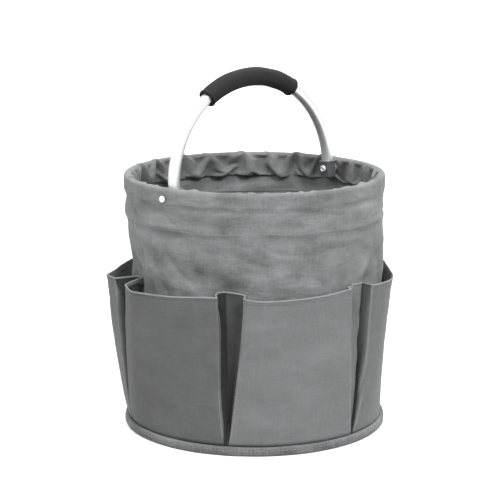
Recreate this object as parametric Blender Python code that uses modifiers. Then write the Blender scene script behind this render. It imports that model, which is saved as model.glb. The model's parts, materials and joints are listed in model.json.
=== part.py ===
"""Bucket-shaped fabric tool bag with six pleated outside pockets and a swinging arch handle.

Metres, +Z up. The origin is the centre of the base, on the floor. X runs along the handle's
pivot axis. The bag stands still; the handle swings about the two rivets in the rim.
"""
import math

import bmesh
import bpy
from mathutils import Matrix

# ---- driving dimensions ------------------------------------------------------------------
RING_STEPS = 60          # facets round the bag
GAP = 0.0003             # clearance between pieces that touch

CLOTH = 0.0014           # folded fabric, rim and wall
BAG_HEIGHT = 0.277       # floor to the top of the rim
RIM_OUT = 0.1415         # outside radius of the rim casing
RIM_IN = 0.1351          # radius of the casing's inner skin
CASING_HEM_Z = 0.2315    # lower edge of the casing, outside
CASING_TUCK_Z = 0.2560   # lower edge of the casing, inside

HOOP_THICK = 0.0030
HOOP_TALL = 0.0140

FACING_TOP_Z = 0.2735
FACING_HEM_Z = 0.2500

# outer face of the bag wall: (height, radius), top to bottom
WALL_OUTLINE = (
    (0.2575, 0.1398),
    (0.2320, 0.1398),
    (0.2100, 0.1390),
    (0.1700, 0.1370),
    (0.0900, 0.1360),
    (0.0300, 0.1366),
    (0.0003, 0.1375),
)

BINDING_OUT = 0.1428     # outside radius of the bound bottom edge
BINDING_TALL = 0.0095
BINDING_ROUND = 0.0013

PANEL_THICK = 0.0012     # base fabric under the board
BOARD_THICK = 0.0025
LINING_THICK = 0.0010
BOARD_INSET = 0.0050     # the board stops short of the wall by this much

POCKETS = 6
POCKET_CLOTH = 0.0012
POCKET_TOP_Z = 0.1680
POCKET_HEM_Z = 0.0098
POCKET_GAP = 0.0005      # between a pocket's sewn edges and the wall
SEAM_HALF_WIDTH = math.radians(0.35)
FLANGE = math.radians(1.8)            # sewn edge that lies flat on the wall
PLEAT_TURN = math.radians(4.2)        # how far a pleat's fold stands in from its seam, at the top
CORNER_STANDOFF = 0.0165              # top corners off the wall
MIDDLE_STANDOFF = 0.0100              # middle of the top edge off the wall
STANDOFF_POWER = 0.65                 # below 1: the pocket opens quickly above its hem
FRONT_COLUMNS = 10
POCKET_ROWS = 7

PIVOT_Z = 0.2650
HANDLE_LEAN = math.radians(4.0)       # the handle stands a little back from upright
ARCH_HALF_SPAN = 0.1235
ARCH_RISE = 0.1136                    # pivot axis to the arch's highest point
ARCH_SPRING = 0.0060                  # the legs are straight up to this height, then an ellipse
ARCH_POINTS = 25
TUBE_RADIUS = 0.00625
TUBE_WALL = 0.0012
TUBE_END_DROP = 0.0083                # the tube ends this far below the pivot
GRIP_HALF_SPAN = 0.0680
GRIP_RADIUS = 0.0100
GRIP_BORE = 0.0066
GRIP_ROUND = 0.0012                   # rounding at the sleeve's ends
GRIP_POINTS = 13

SOCKET_SIDE = 0.0145
SOCKET_ABOVE = 0.0086                 # pivot to the socket's top
SOCKET_BELOW = 0.0098                 # pivot to its closed bottom
SOCKET_BORE = 0.00665
SOCKET_ROUND = 0.0025

RIVET_SHANK = 0.0020
RIVET_HEAD = 0.00375
RIVET_HOLE = 0.0023
HEAD_THICK = 0.0018
SET_END_THICK = 0.0021
WASHER_RADIUS = 0.0055
WASHER_THICK = 0.0010

# colour, roughness, metallic
FINISHES = {
    "oxford_cloth": ((0.205, 0.207, 0.210), 0.86, 0.0),
    "pocket_cloth": ((0.190, 0.192, 0.195), 0.86, 0.0),
    "rim_cloth": ((0.225, 0.227, 0.230), 0.86, 0.0),
    "lining_cloth": ((0.165, 0.167, 0.170), 0.88, 0.0),
    "binding_tape": ((0.150, 0.152, 0.155), 0.84, 0.0),
    "base_board": ((0.055, 0.055, 0.058), 0.60, 0.0),
    "hoop_metal": ((0.600, 0.605, 0.615), 0.42, 1.0),
    "tube_metal": ((0.790, 0.795, 0.805), 0.30, 1.0),
    "grip_foam": ((0.022, 0.022, 0.023), 0.78, 0.0),
    "socket_plastic": ((0.060, 0.062, 0.065), 0.45, 0.0),
    "rivet_metal": ((0.700, 0.705, 0.715), 0.25, 1.0),
    "washer_nylon": ((0.520, 0.520, 0.510), 0.50, 0.0),
}


# ---- scene, collections, materials -------------------------------------------------------
def clear_scene():
    for obj in list(bpy.data.objects):
        bpy.data.objects.remove(obj, do_unlink=True)


def new_collection(name):
    collection = bpy.data.collections.new(name)
    bpy.context.scene.collection.children.link(collection)
    return collection


def finish(name):
    """The material for a finish, made once and shared by the pieces that have it."""
    material = bpy.data.materials.get(name)
    if material:
        return material
    colour, roughness, metallic = FINISHES[name]
    material = bpy.data.materials.new(name)
    material.use_nodes = True
    shader = material.node_tree.nodes["Principled BSDF"]
    shader.inputs["Base Color"].default_value = (*colour, 1.0)
    shader.inputs["Roughness"].default_value = roughness
    shader.inputs["Metallic"].default_value = metallic
    material.diffuse_color = (*colour, 1.0)
    return material


def add_piece(name, mesh, finish_name, parent=None):
    mesh.name = name
    piece = bpy.data.objects.new(name, mesh)
    parts.objects.link(piece)
    piece.data.materials.append(finish(finish_name))
    piece.parent = parent
    return piece


def smooth(mesh):
    mesh.shade_smooth()
    mesh.set_sharp_from_angle(angle=math.radians(40))


# ---- shape helpers -----------------------------------------------------------------------
def mesh_from(bm, name):
    mesh = bpy.data.meshes.new(name)
    bm.to_mesh(mesh)
    bm.free()
    return mesh


def profile_mesh(name, outline, closed):
    """A chain of edges in the XZ plane from (radius, height) points."""
    edges = [(i, i + 1) for i in range(len(outline) - 1)]
    if closed:
        edges.append((len(outline) - 1, 0))
    mesh = bpy.data.meshes.new(name)
    mesh.from_pydata([(r, 0.0, z) for r, z in outline], edges, [])
    return mesh


def add_turned(name, outline, finish_name, closed=True, steps=RING_STEPS, thickness=0.0):
    """Turn an outline about Z; an open outline can be given a thickness, inwards."""
    piece = add_piece(name, profile_mesh(name, outline, closed), finish_name)
    screw = piece.modifiers.new("turn", "SCREW")
    screw.axis = "Z"
    screw.angle = 2.0 * math.pi
    screw.steps = steps
    screw.render_steps = steps
    screw.use_merge_vertices = True
    screw.merge_threshold = 0.00001
    screw.use_smooth_shade = True
    if thickness:
        add_thickness(piece, thickness)
    return piece


def add_thickness(piece, thickness):
    solidify = piece.modifiers.new("thickness", "SOLIDIFY")
    solidify.thickness = thickness
    solidify.offset = -1.0
    solidify.use_even_offset = True
    solidify.use_quality_normals = True


def add_rounding(piece, width, segments, angle):
    bevel = piece.modifiers.new("rounding", "BEVEL")
    bevel.width = width
    bevel.segments = segments
    bevel.limit_method = "ANGLE"
    bevel.angle_limit = angle


def add_disc(name, radius, bottom, thickness, finish_name):
    bm = bmesh.new()
    bmesh.ops.create_cone(bm, cap_ends=True, segments=RING_STEPS, radius1=radius, radius2=radius,
                          depth=thickness)
    disc = add_piece(name, mesh_from(bm, name), finish_name)
    disc.location = (0.0, 0.0, bottom + thickness / 2.0)
    return disc


def cut_with(piece, cutter):
    boolean = piece.modifiers.new("cut_" + cutter.name, "BOOLEAN")
    boolean.operation = "DIFFERENCE"
    boolean.solver = "EXACT"
    boolean.object = cutter


def add_cutter(name, radius, length, parent=None):
    """A cylinder along its own Z, used only to cut holes."""
    bm = bmesh.new()
    bmesh.ops.create_cone(bm, cap_ends=True, segments=24, radius1=radius, radius2=radius,
                          depth=length)
    cutter = bpy.data.objects.new(name, mesh_from(bm, name))
    cutters.objects.link(cutter)
    cutter.parent = parent
    cutter.hide_render = True
    cutter.display_type = "WIRE"
    return cutter


def add_tube_piece(name, path, radius, thickness, finish_name, parent):
    """A hollow, open-ended tube along a path of points."""
    curve = bpy.data.curves.new(name + "_path", "CURVE")
    curve.dimensions = "3D"
    curve.bevel_depth = radius
    curve.bevel_resolution = 6
    curve.use_fill_caps = False
    spline = curve.splines.new("POLY")
    spline.points.add(len(path) - 1)
    for point, place in zip(spline.points, path):
        point.co = (*place, 1.0)
    rail = bpy.data.objects.new(name + "_path", curve)
    bpy.context.scene.collection.objects.link(rail)
    graph = bpy.context.evaluated_depsgraph_get()
    mesh = bpy.data.meshes.new_from_object(rail.evaluated_get(graph))
    bpy.data.objects.remove(rail, do_unlink=True)
    smooth(mesh)
    tube = add_piece(name, mesh, finish_name, parent)
    add_thickness(tube, thickness)
    return tube


# ---- bag body ----------------------------------------------------------------------------
def wall_radius(height):
    """Radius of the wall's outer face at a height."""
    for (z_high, r_high), (z_low, r_low) in zip(WALL_OUTLINE, WALL_OUTLINE[1:]):
        if height >= z_low:
            share = (height - z_low) / (z_high - z_low)
            return r_low + (r_high - r_low) * share
    return WALL_OUTLINE[-1][1]


def make_wall():
    outline = [(radius, height) for height, radius in WALL_OUTLINE]
    return add_turned("bag_wall", outline, "oxford_cloth", closed=False, thickness=CLOTH)


def make_base():
    inside = WALL_OUTLINE[-1][1] - CLOTH - 2.0 * GAP
    add_disc("base_panel", inside - CLOTH, 0.0, PANEL_THICK, "lining_cloth")
    board_bottom = PANEL_THICK + GAP
    add_disc("base_board", inside - BOARD_INSET, board_bottom, BOARD_THICK, "base_board")
    lining_bottom = board_bottom + BOARD_THICK + GAP
    add_disc("base_lining", inside - CLOTH, lining_bottom, LINING_THICK, "lining_cloth")


def make_binding():
    inner = WALL_OUTLINE[-1][1] + GAP
    rounded = BINDING_OUT - BINDING_ROUND
    outline = (
        (inner, BINDING_TALL),
        (rounded, BINDING_TALL),
        (BINDING_OUT, BINDING_TALL - BINDING_ROUND),
        (BINDING_OUT, BINDING_ROUND),
        (rounded, 0.0),
        (inner, 0.0),
    )
    add_turned("base_binding", outline, "binding_tape")


def casing_outline():
    """Up the inner skin, over the hoop in a half round, and down the outer skin."""
    half = (RIM_OUT - RIM_IN) / 2.0
    middle = (RIM_OUT + RIM_IN) / 2.0
    bend_z = BAG_HEIGHT - half
    outline = [(RIM_IN, CASING_TUCK_Z)]
    arc_steps = 4
    for i in range(arc_steps + 1):
        turn = math.pi * i / arc_steps
        outline.append((middle - half * math.cos(turn), bend_z + half * math.sin(turn)))
    outline.append((RIM_OUT, CASING_HEM_Z))
    return outline


def ring_outline(inner, outer, low, high):
    return ((inner, high), (outer, high), (outer, low), (inner, low))


def make_rim(pivot_hole):
    casing = add_turned("rim_casing", casing_outline(), "rim_cloth", closed=False, thickness=CLOTH)
    hoop_in = RIM_IN + CLOTH + GAP
    hoop_low = PIVOT_Z - HOOP_TALL / 2.0
    hoop_box = ring_outline(hoop_in, hoop_in + HOOP_THICK, hoop_low, hoop_low + HOOP_TALL)
    hoop = add_turned("rim_hoop", hoop_box, "hoop_metal")
    facing_out = RIM_IN - GAP
    facing_box = ring_outline(facing_out - CLOTH, facing_out, FACING_HEM_Z, FACING_TOP_Z)
    facing = add_turned("rim_facing", facing_box, "rim_cloth")
    for ring in (casing, hoop, facing):
        cut_with(ring, pivot_hole)


# ---- pockets -----------------------------------------------------------------------------
def pocket_columns():
    """Across one pocket: (how far in from the seam, 0 at the wall to 1 out at the front)."""
    seam_side = [("edge", 1.0), ("flange", 1.0)]
    front = [("front", 1.0 - 2.0 * i / FRONT_COLUMNS) for i in range(FRONT_COLUMNS + 1)]
    return [(kind, -side) for kind, side in seam_side] + \
        [(kind, -side) for kind, side in front] + \
        [(kind, side) for kind, side in reversed(seam_side)]


def pocket_point(kind, side, rise):
    """A point on the pocket's outer face; side runs -1 to 1, rise 0 at the hem to 1 at the top."""
    height = POCKET_HEM_Z + (POCKET_TOP_Z - POCKET_HEM_Z) * rise
    half_angle = math.pi / POCKETS
    radius = wall_radius(height) + POCKET_GAP + POCKET_CLOTH
    if kind == "edge":
        angle = side * (half_angle - SEAM_HALF_WIDTH)
    elif kind == "flange":
        angle = side * (half_angle - SEAM_HALF_WIDTH - FLANGE)
    else:
        fold = SEAM_HALF_WIDTH + FLANGE + math.radians(0.4) + PLEAT_TURN * rise
        angle = side * (half_angle - fold)
        bow = MIDDLE_STANDOFF + (CORNER_STANDOFF - MIDDLE_STANDOFF) * side * side
        radius += bow * rise ** STANDOFF_POWER
    return radius * math.cos(angle), radius * math.sin(angle), height


def make_pocket_mesh():
    """A flat grid bent into the pocket's front and its two pleats."""
    columns = pocket_columns()
    bm = bmesh.new()
    bmesh.ops.create_grid(bm, x_segments=len(columns) - 1, y_segments=POCKET_ROWS, size=1.0)
    for vert in bm.verts:
        column = round((vert.co.x + 1.0) / 2.0 * (len(columns) - 1))
        rise = (vert.co.y + 1.0) / 2.0
        kind, side = columns[column]
        vert.co = pocket_point(kind, side, rise)
    mesh = mesh_from(bm, "pocket")
    smooth(mesh)
    mesh.materials.append(finish("pocket_cloth"))
    return mesh


def make_pockets():
    mesh = make_pocket_mesh()
    for i in range(POCKETS):
        pocket = bpy.data.objects.new(f"pocket_{i + 1}", mesh)
        parts.objects.link(pocket)
        pocket.rotation_euler = (0.0, 0.0, 2.0 * math.pi * i / POCKETS)
        add_thickness(pocket, POCKET_CLOTH)


# ---- handle, all built round the pivot axis -------------------------------------------------
def arch_point(turn):
    """A point on the arch's centre line; turn is 0 at the -X foot and pi at the +X foot."""
    height = ARCH_SPRING + (ARCH_RISE - ARCH_SPRING) * math.sin(turn)
    return -ARCH_HALF_SPAN * math.cos(turn), 0.0, height


def make_tube(pivot, pivot_hole):
    arch = [arch_point(math.pi * i / (ARCH_POINTS - 1)) for i in range(ARCH_POINTS)]
    path = [(-ARCH_HALF_SPAN, 0.0, -TUBE_END_DROP), *arch, (ARCH_HALF_SPAN, 0.0, -TUBE_END_DROP)]
    tube = add_tube_piece("handle_tube", path, TUBE_RADIUS, TUBE_WALL, "tube_metal", pivot)
    cut_with(tube, pivot_hole)


def make_grip(pivot):
    start = math.acos(GRIP_HALF_SPAN / ARCH_HALF_SPAN)
    sweep = math.pi - 2.0 * start
    path = [arch_point(start + sweep * i / (GRIP_POINTS - 1)) for i in range(GRIP_POINTS)]
    grip = add_tube_piece("handle_grip", path, GRIP_RADIUS, GRIP_RADIUS - GRIP_BORE, "grip_foam",
                          pivot)
    add_rounding(grip, GRIP_ROUND, 1, math.radians(60))


def make_socket(side_name, side, pivot, pivot_hole):
    tall = SOCKET_ABOVE + SOCKET_BELOW
    middle = (SOCKET_ABOVE - SOCKET_BELOW) / 2.0
    bm = bmesh.new()
    bmesh.ops.create_cube(bm, size=1.0)
    bmesh.ops.scale(bm, vec=(SOCKET_SIDE, SOCKET_SIDE, tall), verts=bm.verts)
    bmesh.ops.translate(bm, vec=(side * ARCH_HALF_SPAN, 0.0, middle), verts=bm.verts)
    upright = [edge for edge in bm.edges
               if abs(edge.verts[0].co.z - edge.verts[1].co.z) > tall / 2.0]
    bmesh.ops.bevel(bm, geom=upright, offset=SOCKET_ROUND, segments=3, profile=0.5,
                    affect="EDGES")
    socket = add_piece("handle_socket_" + side_name, mesh_from(bm, "socket"), "socket_plastic",
                       pivot)
    depth = SOCKET_ABOVE + TUBE_END_DROP + GAP
    bore = add_cutter("bore_" + side_name, SOCKET_BORE, 2.0 * depth, pivot)
    bore.location = (side * ARCH_HALF_SPAN, 0.0, SOCKET_ABOVE)
    cut_with(socket, bore)
    cut_with(socket, pivot_hole)


def rivet_outline(length):
    """Half section, axis at radius 0: domed head at the top, rolled hollow end at the bottom."""
    head = length
    seat = length - HEAD_THICK
    roll = SET_END_THICK
    hollow = 0.00125
    hollow_depth = 0.0060
    return (
        (0.0, head - 0.0004),
        (0.0009, head - 0.0004),
        (0.0013, head),
        (0.0026, head - 0.0001),
        (0.0034, head - 0.0006),
        (RIVET_HEAD, head - 0.0014),
        (RIVET_HEAD, seat),
        (RIVET_SHANK, seat),
        (RIVET_SHANK, roll),
        (RIVET_HEAD - 0.0001, roll),
        (RIVET_HEAD, roll - 0.0007),
        (0.0032, roll - 0.0016),
        (0.0024, 0.0),
        (0.0017, 0.0),
        (hollow, 0.0006),
        (hollow, hollow_depth),
        (0.0, hollow_depth),
    )


def make_rivets_and_washers():
    socket_in = ARCH_HALF_SPAN - SOCKET_SIDE / 2.0
    socket_out = ARCH_HALF_SPAN + SOCKET_SIDE / 2.0
    rivet_start = socket_in - GAP - SET_END_THICK
    rivet_end = RIM_OUT + GAP + HEAD_THICK
    facing_in = RIM_IN - GAP - CLOTH
    washer_mid = (socket_out + facing_in) / 2.0
    washer_box = ring_outline(RIVET_HOLE, WASHER_RADIUS, -WASHER_THICK / 2.0, WASHER_THICK / 2.0)
    for side_name, side in (("left", -1.0), ("right", 1.0)):
        rivet = add_turned("pivot_rivet_" + side_name, rivet_outline(rivet_end - rivet_start),
                           "rivet_metal", closed=False, steps=20)
        rivet.location = (side * rivet_start, 0.0, PIVOT_Z)
        rivet.rotation_euler = (0.0, side * math.pi / 2.0, 0.0)
        washer = add_turned("pivot_washer_" + side_name, washer_box, "washer_nylon", steps=24)
        washer.location = (side * washer_mid, 0.0, PIVOT_Z)
        washer.rotation_euler = (0.0, side * math.pi / 2.0, 0.0)


def make_handle(pivot_hole):
    pivot = bpy.data.objects.new("handle_pivot", None)
    bpy.context.scene.collection.objects.link(pivot)
    pivot.location = (0.0, 0.0, PIVOT_Z)
    pivot.rotation_euler = (-HANDLE_LEAN, 0.0, 0.0)
    make_tube(pivot, pivot_hole)
    make_grip(pivot)
    make_socket("left", -1.0, pivot, pivot_hole)
    make_socket("right", 1.0, pivot, pivot_hole)


def make_pivot_hole():
    """One long drill through both sides of the rim, along the pivot axis."""
    drill = add_cutter("pivot_drill", RIVET_HOLE, 2.4 * RIM_OUT)
    drill.matrix_world = Matrix.Translation((0.0, 0.0, PIVOT_Z)) @ \
        Matrix.Rotation(math.pi / 2.0, 4, "Y")
    return drill


clear_scene()
parts = new_collection("bucket_bag")
cutters = new_collection("cutters")
pivot_drill = make_pivot_hole()
make_base()
make_binding()
make_wall()
make_rim(pivot_drill)
make_pockets()
make_handle(pivot_drill)
make_rivets_and_washers()
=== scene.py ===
"""Looks for the bucket bag: cloth, stitching, foam, metal and studio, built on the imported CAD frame.

Everything is in metres in the CAD's frame. The bag stands at the origin, X is the handle's pivot
axis, and angles round the bag are counted from +X towards +Y.
"""
import json
import math

import bmesh
import bpy
import numpy as np
from mathutils import Matrix, Vector


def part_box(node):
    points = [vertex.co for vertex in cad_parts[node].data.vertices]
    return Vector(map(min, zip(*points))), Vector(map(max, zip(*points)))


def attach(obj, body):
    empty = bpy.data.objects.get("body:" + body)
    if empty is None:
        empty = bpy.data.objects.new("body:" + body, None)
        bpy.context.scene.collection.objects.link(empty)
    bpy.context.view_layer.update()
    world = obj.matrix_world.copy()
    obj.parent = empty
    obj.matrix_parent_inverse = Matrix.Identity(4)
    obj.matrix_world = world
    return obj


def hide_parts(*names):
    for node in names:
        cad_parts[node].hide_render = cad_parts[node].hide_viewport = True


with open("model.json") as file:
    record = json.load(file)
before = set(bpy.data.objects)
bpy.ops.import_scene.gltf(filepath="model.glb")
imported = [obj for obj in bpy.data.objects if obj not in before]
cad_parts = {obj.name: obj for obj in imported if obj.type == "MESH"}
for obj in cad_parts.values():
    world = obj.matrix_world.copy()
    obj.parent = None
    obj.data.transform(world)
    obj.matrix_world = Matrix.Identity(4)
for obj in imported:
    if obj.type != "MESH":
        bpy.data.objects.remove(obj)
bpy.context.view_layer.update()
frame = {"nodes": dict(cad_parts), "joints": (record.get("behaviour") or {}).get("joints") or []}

MM = 0.001
TURN = 2.0 * math.pi
FOOT_RADIUS = 0.1375  # outer face of the wall at the floor
LEAN = math.radians(4.0)  # the handle stands this far back from upright
CLOTH = 0.9 * MM  # thickness of the cloth
RING = 360  # columns round the bag

scene = bpy.context.scene

# ---- sizes, read from the frame ----
pivot_z = frame["joints"][0]["pos_m"][2]
rim_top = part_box("rim_casing")[1].z
rim_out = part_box("rim_casing")[1].x
facing_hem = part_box("rim_facing")[0].z
pocket_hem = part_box("pocket_1")[0].z
pocket_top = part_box("pocket_1")[1].z
binding_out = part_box("base_binding")[1].x
binding_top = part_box("base_binding")[1].z
wall_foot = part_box("bag_wall")[0].z
leg_x = (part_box("handle_socket_right")[0].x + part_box("handle_socket_right")[1].x) / 2.0


# ---- small tools ----
def smoothstep(low, high, x):
    t = np.clip((x - low) / (high - low), 0.0, 1.0)
    return t * t * (3.0 - 2.0 * t)


def bump_at(x, centre, width):
    return np.exp(-((x - centre) / width) ** 2)


def round_angles(count):
    return np.linspace(0.0, TURN, count, endpoint=False)


def ring_noise(angle, height, seed, lobes, wavelengths, terms=10):
    """Smooth noise that closes round the bag: cosines with whole lobes and given heights."""
    rng = np.random.default_rng(seed)
    total = np.zeros(np.broadcast(angle, height).shape)
    for _ in range(terms):
        around = rng.integers(lobes[0], lobes[1] + 1)
        up = TURN / rng.uniform(*wavelengths) * rng.choice((-1.0, 1.0))
        total = total + np.cos(around * angle + up * height + rng.uniform(0.0, TURN))
    return total / math.sqrt(terms)


def lobe_noise(angle, seed, lobes, terms):
    """The same noise where it changes only round the bag."""
    return ring_noise(angle, 0.0, seed, lobes, (1.0, 2.0), terms)


def new_object(name, data):
    obj = bpy.data.objects.new(name, data)
    scene.collection.objects.link(obj)
    return obj


def from_bmesh(name, bm):
    mesh = bpy.data.meshes.new(name)
    bm.to_mesh(mesh)
    bm.free()
    return new_object(name, mesh)


def grid_object(name, points, uv, closed=False):
    """A mesh from a rows x columns grid of points, with UVs in metres of cloth."""
    rows, columns = points.shape[:2]
    i, j = np.meshgrid(np.arange(rows - 1), np.arange(columns if closed else columns - 1),
                       indexing="ij")
    corners = ((i, j), (i, j + 1), (i + 1, j + 1), (i + 1, j))
    faces = np.stack([a * columns + b % columns for a, b in corners], axis=-1).reshape(-1, 4)
    mesh = bpy.data.meshes.new(name)
    mesh.from_pydata(points.reshape(-1, 3).tolist(), [], faces.tolist())
    layer = mesh.uv_layers.new(name="cloth")
    layer.data.foreach_set("uv", np.stack([uv[a, b] for a, b in corners], axis=2).ravel())
    mesh.shade_smooth()
    return new_object(name, mesh)


def lengths_along(line):
    """How far along a line of points each one lies."""
    steps = np.linalg.norm(np.diff(line, axis=0), axis=1)
    return np.concatenate([[0.0], np.cumsum(steps)])


def cloth_uv(points, closed=False):
    """Distances along the cloth: columns by their length at the first row, rows by theirs."""
    rows, columns = points.shape[:2]
    ring = np.concatenate([points[0], points[0, :1]]) if closed else points[0]
    across = lengths_along(ring)
    uv = np.zeros((rows, len(across), 2))
    uv[:, :, 0] = across
    uv[:, :, 1] = lengths_along(points[:, columns // 2])[:, None]
    return uv


def thicken(obj, thickness=CLOTH):
    solidify = obj.modifiers.new("thickness", "SOLIDIFY")
    solidify.thickness = thickness
    solidify.offset = -1.0


def paint(obj, material):
    obj.data.materials.clear()
    obj.data.materials.append(material)


def dress(obj, material, body, slot, *nodes):
    """Gives a piece its material and its body, and hides the CAD nodes that it stands for. slot is not
    used.
    """
    paint(obj, material)
    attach(obj, body)
    if nodes:
        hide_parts(*nodes)


def polar(radius, angle, height):
    """Points from their distance to the bag's axis, their angle round it and their height."""
    return np.stack(np.broadcast_arrays(radius * np.cos(angle), radius * np.sin(angle), height),
                    axis=-1)


# ---- materials ----
class Nodes:
    """A short way to write the node tree of a material or world."""

    def __init__(self, owner, shader="Principled BSDF"):
        owner.use_nodes = True
        self.owner = owner
        self.tree = owner.node_tree
        self.shader = self.tree.nodes[shader]

    def add(self, kind, inputs=None, **settings):
        node = self.tree.nodes.new(kind)
        for key, value in settings.items():
            setattr(node, key, value)
        for key, value in (inputs or {}).items():
            self.put(node.inputs[key], value)
        return node

    def put(self, socket, value):
        if isinstance(value, bpy.types.NodeSocket):
            self.tree.links.new(value, socket)
        else:
            socket.default_value = value

    def math(self, operation, a, b=0.0):
        return self.add("ShaderNodeMath", {0: a, 1: b}, operation=operation).outputs[0]

    def total(self, first, *others):
        for other in others:
            first = self.math("ADD", first, other)
        return first

    def noise(self, vector, scale, detail=3.0, roughness=0.55):
        node = self.add("ShaderNodeTexNoise", {"Vector": vector, "Scale": scale,
                                               "Detail": detail, "Roughness": roughness})
        return node.outputs["Fac"]

    def stretched(self, vector, x, y, z=1.0):
        return self.add("ShaderNodeMapping", {"Vector": vector, "Scale": (x, y, z)}).outputs[0]

    def ramp(self, factor, low, high, start=0.0, end=1.0):
        node = self.add("ShaderNodeMapRange", {"Value": factor, "From Min": start, "From Max": end,
                                               "To Min": low, "To Max": high})
        return node.outputs[0]

    def bump(self, height, distance, strength=1.0, normal=None):
        inputs = {"Height": height, "Distance": distance, "Strength": strength}
        if normal is not None:
            inputs["Normal"] = normal
        return self.add("ShaderNodeBump", inputs).outputs[0]

    def mark(self, name):
        return self.add("ShaderNodeAttribute", attribute_name=name).outputs["Fac"]

    def grey(self, tone):
        return self.add("ShaderNodeCombineColor", {0: tone, 1: tone, 2: tone}).outputs[0]

    def tinted(self, colour, tone):
        """A colour, darker or lighter by a tone that varies over the surface."""
        return self.add("ShaderNodeMix", {0: 1.0, 6: (*colour, 1.0), 7: self.grey(tone)},
                        data_type="RGBA", blend_type="MULTIPLY").outputs[2]

    def set(self, **values):
        for key, value in values.items():
            self.put(self.shader.inputs[key.replace("_", " ")], value)


def new_material(name):
    """A material's nodes, and the place on the object that its patterns are laid by."""
    n = Nodes(bpy.data.materials.new(name))
    return n, n.add("ShaderNodeTexCoord").outputs["Object"]


def streaks(n, uv, fine, long, detail, roughness):
    """Streaks along the threads of both directions, added up."""
    up = n.noise(n.stretched(uv, fine, long), 1.0, detail, roughness)
    return n.math("ADD", up, n.noise(n.stretched(uv, long, fine), 1.0, detail, roughness))


def cloth_material(name, grey, thread=0.62 * MM, weave=0.10 * MM, crush=0.55 * MM, shade=0.13,
                   cloudy=0.31):
    """Coated oxford cloth: woven threads, slubs, faint crush marks, rubbed folds with painted
    highlights, and painted shade in pleats.

    thread is the width of a thread. weave and crush are how deep the threads and the crush marks
    lie. shade and cloudy are how much the tone varies along the threads and in broad clouds.
    """
    n, place = new_material(name)
    uv = n.add("ShaderNodeUVMap", uv_map="cloth").outputs[0]
    xyz = n.add("ShaderNodeSeparateXYZ", {0: uv})
    turn = TURN / (2.0 * thread)
    warp = n.math("SINE", n.math("MULTIPLY", xyz.outputs[0], turn))
    weft = n.math("SINE", n.math("MULTIPLY", xyz.outputs[1], turn))
    over_under = n.math("MULTIPLY", warp, weft)
    slubs = streaks(n, uv, 1300.0, 85.0, 2.0, 0.55)
    coarse = streaks(n, uv, 420.0, 40.0, 3.0, 0.65)
    cloud = n.noise(n.stretched(place, 20.0, 20.0, 38.0), 1.0, 5.0, 0.62)
    crush_mark = n.noise(place, 70.0, 6.0, 0.68)
    rumple = n.noise(n.stretched(place, 22.0, 22.0, 40.0), 1.0, 3.0, 0.5)
    height = n.total(n.math("MULTIPLY", over_under, 0.5), slubs)
    folded = n.bump(crush_mark, crush, 0.75, n.bump(rumple, 2.4 * crush, 1.0))
    woven = n.bump(coarse, 0.25 * MM, 0.6, folded)
    woven = n.bump(height, weave, 0.8, woven)
    slub_tone = n.ramp(slubs, -0.8 * shade, 0.8 * shade, *SLUB_RANGE)
    coarse_tone = n.ramp(coarse, -0.6 * shade, 0.6 * shade, *SLUB_RANGE)
    cloud_tone = n.ramp(cloud, CLOUD_TONE - cloudy, CLOUD_TONE + cloudy)
    # Rubbed folds are lightened here: partly wear, partly a painted highlight on the creases.
    tone = n.total(slub_tone, cloud_tone, coarse_tone, n.math("MULTIPLY", over_under, 0.035),
                   n.math("MULTIPLY", n.mark("wear_and_highlight"), WEAR_AND_HIGHLIGHT_LIGHTER))
    # Painted shade darkens the pleats, some whole panels and the facing beside the sockets.
    tone = n.math("MULTIPLY", tone, n.ramp(n.mark("painted_shade"), 1.0, PAINTED_SHADE_TONE))
    n.set(Base_Color=n.tinted(grey, tone), Roughness=n.ramp(cloud, 0.78, 0.92), Normal=woven)
    n.set(Sheen_Weight=0.22, Sheen_Roughness=0.45, Specular_IOR_Level=0.30)
    return n.owner


def thread_material(name, grey):
    n, place = new_material(name)
    twist = n.noise(place, 2600.0, 2.0)
    n.set(Base_Color=n.tinted(grey, n.ramp(twist, 0.8, 1.2)), Roughness=0.75)
    n.set(Normal=n.bump(twist, 0.05 * MM), Sheen_Weight=0.15)
    return n.owner


def metal_material(name, grey, roughness, along, metallic=1.0):
    """Metal with fine drawn lines along one axis of the object and faint handling marks."""
    n, place = new_material(name)
    lines = n.noise(n.stretched(place, *along), 1.0, 3.0)
    marks = n.noise(place, 60.0, 4.0, 0.6)
    n.set(Base_Color=(*grey, 1.0), Metallic=metallic)
    n.set(Roughness=n.math("ADD", n.ramp(lines, roughness - 0.05, roughness + 0.05),
                           n.ramp(marks, -0.05, 0.05)))
    n.set(Normal=n.bump(lines, 0.02 * MM, 0.5))
    return n.owner


def foam_material(name, grey):
    n, place = new_material(name)
    cells = n.noise(place, 1500.0, 3.0, 0.7)
    dents = n.noise(place, 120.0, 4.0)
    skin = n.bump(dents, 0.25 * MM, 0.6)
    n.set(Base_Color=n.tinted(grey, n.ramp(dents, 0.75, 1.3)), Roughness=n.ramp(cells, 0.62, 0.85))
    n.set(Normal=n.bump(cells, 0.10 * MM, 0.7, skin), Specular_IOR_Level=0.30)
    return n.owner


def plastic_material(name, grey, roughness):
    n, place = new_material(name)
    grain = n.noise(place, 1100.0, 3.0)
    smudge = n.noise(place, 70.0, 3.0)
    n.set(Base_Color=(*grey, 1.0), Roughness=n.ramp(smudge, roughness - 0.07, roughness + 0.1))
    n.set(Normal=n.bump(grain, 0.03 * MM, 0.6))
    return n.owner


SLUB_RANGE = (0.6, 1.4)  # between which the sum of two thread noises lies
CLOUD_TONE = 1.12  # middle tone of the cloth
WEAR_AND_HIGHLIGHT_LIGHTER = 0.55  # how much lighter a rubbed fold is: wear, and a painted highlight on its crease
PAINTED_SHADE_TONE = 0.12  # tone of the painted shade, deep in a pleat

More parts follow.
